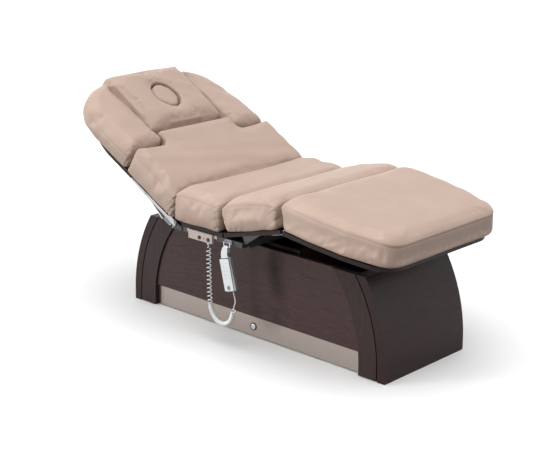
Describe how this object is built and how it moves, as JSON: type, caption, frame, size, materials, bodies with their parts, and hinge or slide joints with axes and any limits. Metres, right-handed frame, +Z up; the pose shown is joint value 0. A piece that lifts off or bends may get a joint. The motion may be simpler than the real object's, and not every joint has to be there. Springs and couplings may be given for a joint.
{
  "type": "facial treatment bed",
  "caption": "Wood-clad facial treatment bed with a lifting base, hinged back, headrest and leg sections in leather, a face opening and a hanging corded handset.",
  "frame": {"origin": "on the floor, under the middle of the outline as stored", "axes": "+X towards the foot end, +Y towards the side away from the handset, +Z up"},
  "size_m": [1.7706, 0.814, 0.9633],
  "materials": {
    "taupe_leather": "matte",
    "end_wood": "satin, horizontal grain",
    "leg_wood": "satin, upright grain",
    "panel_wood": "satin, horizontal grain",
    "edge_wood": "matte lacquer",
    "champagne_metal": "brushed",
    "beige_metal": "satin",
    "bright_steel": "satin",
    "chrome": "polished",
    "black_steel": "satin",
    "black_plastic": "matte",
    "dark_plastic": "gloss",
    "grey_plastic": "satin",
    "white_plastic": "satin",
    "white_rubber": "satin",
    "rubber": "matte",
    "red_lamp": "gloss"
  },
  "bodies": {
    "base": {"end_board_head": "end_wood", "end_board_foot": "end_wood", "leg_posts": "leg_wood", "side_panels": "panel_wood", "kick_plate_near": "champagne_metal", "kick_plate_far": "champagne_metal", "switch_bezel": "dark_plastic", "mains_inlet": "black_plastic", "collar_boards": "panel_wood", "floor_rails": "black_steel", "levelling_feet": "rubber", "control_box": "black_plastic", "lift_columns_outer": "black_steel", "column_guides": "black_plastic"},
    "switch_button": {"switch_button": "chrome"},
    "top_frame": {"lift_columns_inner": "black_steel", "top_rails": "black_steel", "cross_tubes": "black_steel", "seat_board": "edge_wood", "seat_cushion": "taupe_leather", "hinge_pins": "bright_steel", "socket_bracket": "beige_metal", "socket_caps": "black_plastic", "socket_lamp": "red_lamp", "cord_gland": "white_plastic", "hanger_clip": "grey_plastic", "hanger_wire": "chrome", "curly_cord": "white_rubber", "cord_lead": "white_rubber"},
    "back": {"back_board": "edge_wood", "back_cushion": "taupe_leather", "bolster_near": "taupe_leather", "bolster_far": "taupe_leather", "hinge_arms": "bright_steel", "web_strips": "chrome", "back_frame": "black_steel", "tube_caps": "grey_plastic", "head_leaves_back": "bright_steel", "back_fasteners": "bright_steel"},
    "headrest": {"head_board": "edge_wood", "head_pillow": "taupe_leather", "head_leaves_pillow": "bright_steel"},
    "face_plug": {"face_plug": "taupe_leather"},
    "thigh": {"thigh_board": "edge_wood", "thigh_cushion": "taupe_leather", "thigh_gussets": "black_steel", "knee_leaves_thigh": "bright_steel", "knee_pins": "bright_steel"},
    "leg": {"leg_board": "edge_wood", "leg_cushion": "taupe_leather", "knee_leaves_leg": "bright_steel"},
    "back_actuator": {"back_actuator": "black_plastic"},
    "back_actuator_rod": {"back_actuator_rod": "bright_steel"},
    "leg_actuator": {"leg_actuator": "black_plastic"},
    "leg_actuator_rod": {"leg_actuator_rod": "bright_steel"},
    "handset": {"handset_shell": "white_plastic", "handset_rim": "dark_plastic", "handset_back": "grey_plastic", "handset_hook": "white_plastic"},
    "handset_key": {"handset_key": "grey_plastic"}
  },
  "joints": [
    {"name": "lift", "type": "slide", "parent": "base", "child": "top_frame", "axis": [0, 0, 1], "range_m": [0, 0.28]},
    {"name": "switch_press", "type": "slide", "parent": "base", "child": "switch_button", "axis": [0, 1, 0], "range_m": [0, 0.003], "stiffness_N_per_m": 400, "springref_m": -0.001},
    {"name": "back_hinge", "type": "hinge", "parent": "top_frame", "child": "back", "pos_m": [-0.2073, 0, 0.464], "axis": [0, 1, 0], "range_deg": [-28.7, 21.3]},
    {"name": "head_hinge", "type": "hinge", "parent": "back", "child": "headrest", "pos_m": [-0.5757, 0, 0.66569], "axis": [0, 1, 0], "range_deg": [-20, 10]},
    {"name": "face_plug_lift", "type": "slide", "parent": "headrest", "child": "face_plug", "axis": [0.518, 0, 0.8554], "range_m": [0, 0.13]},
    {"name": "thigh_hinge", "type": "hinge", "parent": "top_frame", "child": "thigh", "pos_m": [0.0757, 0, 0.467], "axis": [0, -1, 0], "range_deg": [-14.2, 10]},
    {"name": "knee_hinge", "type": "hinge", "parent": "thigh", "child": "leg", "pos_m": [0.38786, 0, 0.54599], "axis": [0, -1, 0], "range_deg": [-15.68, 22.25]},
    {"name": "back_actuator_swing", "type": "hinge", "parent": "top_frame", "child": "back_actuator", "pos_m": [0.1337, 0.11, 0.4], "axis": [0, 1, 0], "range_deg": [-2.73, 2.08]},
    {"name": "back_actuator_extend", "type": "slide", "parent": "back_actuator", "child": "back_actuator_rod", "axis": [-0.9999, 0, -0.0163], "range_m": [-0.03627, 0.02702]},
    {"name": "leg_actuator_swing", "type": "hinge", "parent": "top_frame", "child": "leg_actuator", "pos_m": [-0.1883, -0.11, 0.4], "axis": [0, 1, 0], "range_deg": [-0.58, 0.73]},
    {"name": "leg_actuator_extend", "type": "slide", "parent": "leg_actuator", "child": "leg_actuator_rod", "axis": [0.9995, 0, 0.0317], "range_m": [-0.01501, 0.01069]},
    {"name": "handset_lift", "type": "slide", "parent": "top_frame", "child": "handset", "axis": [0, 0, 1], "range_m": [0, 0.035]},
    {"name": "handset_key_press", "type": "slide", "parent": "handset", "child": "handset_key", "axis": [0, 1, 0], "range_m": [0, 0.0012], "stiffness_N_per_m": 800, "springref_m": -0.0005}
  ],
  "couplings": [
    {"joint": "knee_hinge", "follows": "thigh_hinge", "ratio": -1.5634},
    {"joint": "back_actuator_swing", "follows": "back_hinge", "ratio": 0.08713},
    {"joint": "back_actuator_extend", "follows": "back_hinge", "m_per_rad": 0.07161},
    {"joint": "leg_actuator_swing", "follows": "thigh_hinge", "ratio": -0.03532},
    {"joint": "leg_actuator_extend", "follows": "thigh_hinge", "m_per_rad": 0.05895}
  ]
}
